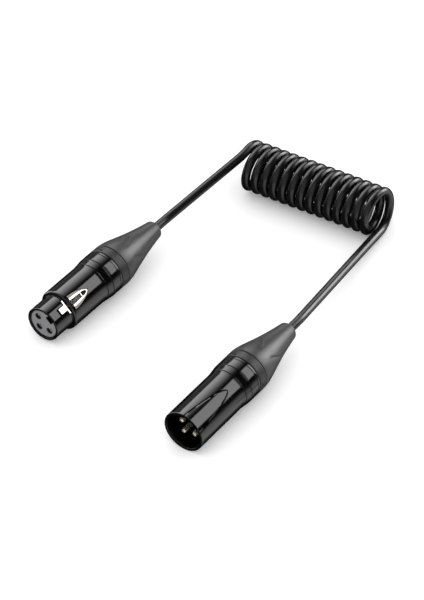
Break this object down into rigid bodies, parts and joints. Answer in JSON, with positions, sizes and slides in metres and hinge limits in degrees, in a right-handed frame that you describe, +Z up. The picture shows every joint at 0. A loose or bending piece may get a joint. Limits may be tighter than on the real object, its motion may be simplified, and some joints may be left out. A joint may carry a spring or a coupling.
{
  "type": "coiled xlr microphone cable",
  "caption": "Short coiled microphone cable with a three-pole socket connector with latch at one end and a three-pin plug at the other.",
  "frame": {"origin": "centre of the bounding box on the table plane", "axes": "+Z up from the table, +X along the coil's axis towards the plug, +Y from the connectors towards the coil"},
  "size_m": [0.107, 0.1744, 0.0227],
  "materials": {
    "shell_black": "gloss black coating over cast zinc",
    "insert_grey": "fine moulded grey",
    "insert_black": "moulded black",
    "contact_gold": "pale gold plating",
    "latch_chrome": "polished",
    "spring_steel": "spring temper",
    "clamp_plastic": "natural nylon",
    "nut_black": "satin black",
    "boot_rubber": "matte soft-touch dark grey",
    "cable_jacket": "semi-gloss black polyurethane",
    "wire_red": "core insulation",
    "wire_white": "core insulation",
    "wire_screen": "tinned copper screen twisted into a lead"
  },
  "bodies": {
    "root": {"coil": "cable_jacket", "socket_tail": "cable_jacket"},
    "plug_side": {"plug_tail": "cable_jacket"},
    "socket_body": {"socket_shell": "shell_black", "socket_insert": "insert_grey", "socket_contact_1": "contact_gold", "socket_contact_2": "contact_gold", "socket_contact_3": "contact_gold", "socket_ground_spring": "spring_steel", "socket_wire_1": "wire_screen", "socket_wire_2": "wire_red", "socket_wire_3": "wire_white", "latch_pin": "spring_steel", "latch_spring": "spring_steel", "socket_jacket_end": "cable_jacket"},
    "latch_body": {"latch": "latch_chrome"},
    "socket_clamp_body": {"socket_clamp": "clamp_plastic"},
    "socket_nut_body": {"socket_back_nut": "nut_black", "socket_boot": "boot_rubber"},
    "plug_body": {"plug_shell": "shell_black", "plug_insert": "insert_black", "plug_pin_1": "contact_gold", "plug_pin_2": "contact_gold", "plug_pin_3": "contact_gold", "plug_ground_spring": "spring_steel", "plug_wire_1": "wire_screen", "plug_wire_2": "wire_red", "plug_wire_3": "wire_white", "plug_jacket_end": "cable_jacket"},
    "plug_clamp_body": {"plug_clamp": "clamp_plastic"},
    "plug_nut_body": {"plug_back_nut": "nut_black", "plug_boot": "boot_rubber"}
  },
  "joints": [
    {"name": "coil_stretch", "type": "slide", "parent": "root", "child": "plug_side", "axis": [1, 0, 0], "range_m": [0, 0.2], "deforming": ["coil"]},
    {"name": "socket_flex", "type": "hinge", "parent": "root", "child": "socket_body", "pos_m": [-0.03431, 0.03182, 0.01291], "axis": [0, 0, 1], "range_deg": [-45, 15]},
    {"name": "plug_flex", "type": "hinge", "parent": "plug_side", "child": "plug_body", "pos_m": [0.04584, 0.00464, 0.01002], "axis": [0, 0, 1], "range_deg": [-15, 45]},
    {"name": "latch_press", "type": "hinge", "parent": "socket_body", "child": "latch_body", "pos_m": [-0.03772, -0.03681, 0.01546], "axis": [0.7407, -0.0621, -0.6689], "range_deg": [0, 4], "stiffness_Nm_per_rad": 0.01, "deforming": ["latch_spring"]},
    {"name": "socket_clamp_slide", "type": "slide", "parent": "socket_body", "child": "socket_clamp_body", "axis": [0.1062, 0.994, 0.0254], "range_m": [0, 0.004]},
    {"name": "socket_nut_turn", "type": "hinge", "parent": "socket_clamp_body", "child": "socket_nut_body", "pos_m": [-0.04089, -0.01863, 0.01026], "axis": [0.1062, 0.994, 0.0254], "range_deg": [0, 1440]},
    {"name": "plug_clamp_slide", "type": "slide", "parent": "plug_body", "child": "plug_clamp_body", "axis": [0.0784, 0.9968, 0.0183], "range_m": [0, 0.004]},
    {"name": "plug_nut_turn", "type": "hinge", "parent": "plug_clamp_body", "child": "plug_nut_body", "pos_m": [0.043, -0.04626, 0.01023], "axis": [0.0784, 0.9968, 0.0183], "range_deg": [0, 1440]}
  ],
  "couplings": [
    {"joint": "socket_nut_turn", "follows": "socket_clamp_slide", "rad_per_m": 6283.2},
    {"joint": "plug_nut_turn", "follows": "plug_clamp_slide", "rad_per_m": 6283.2}
  ]
}
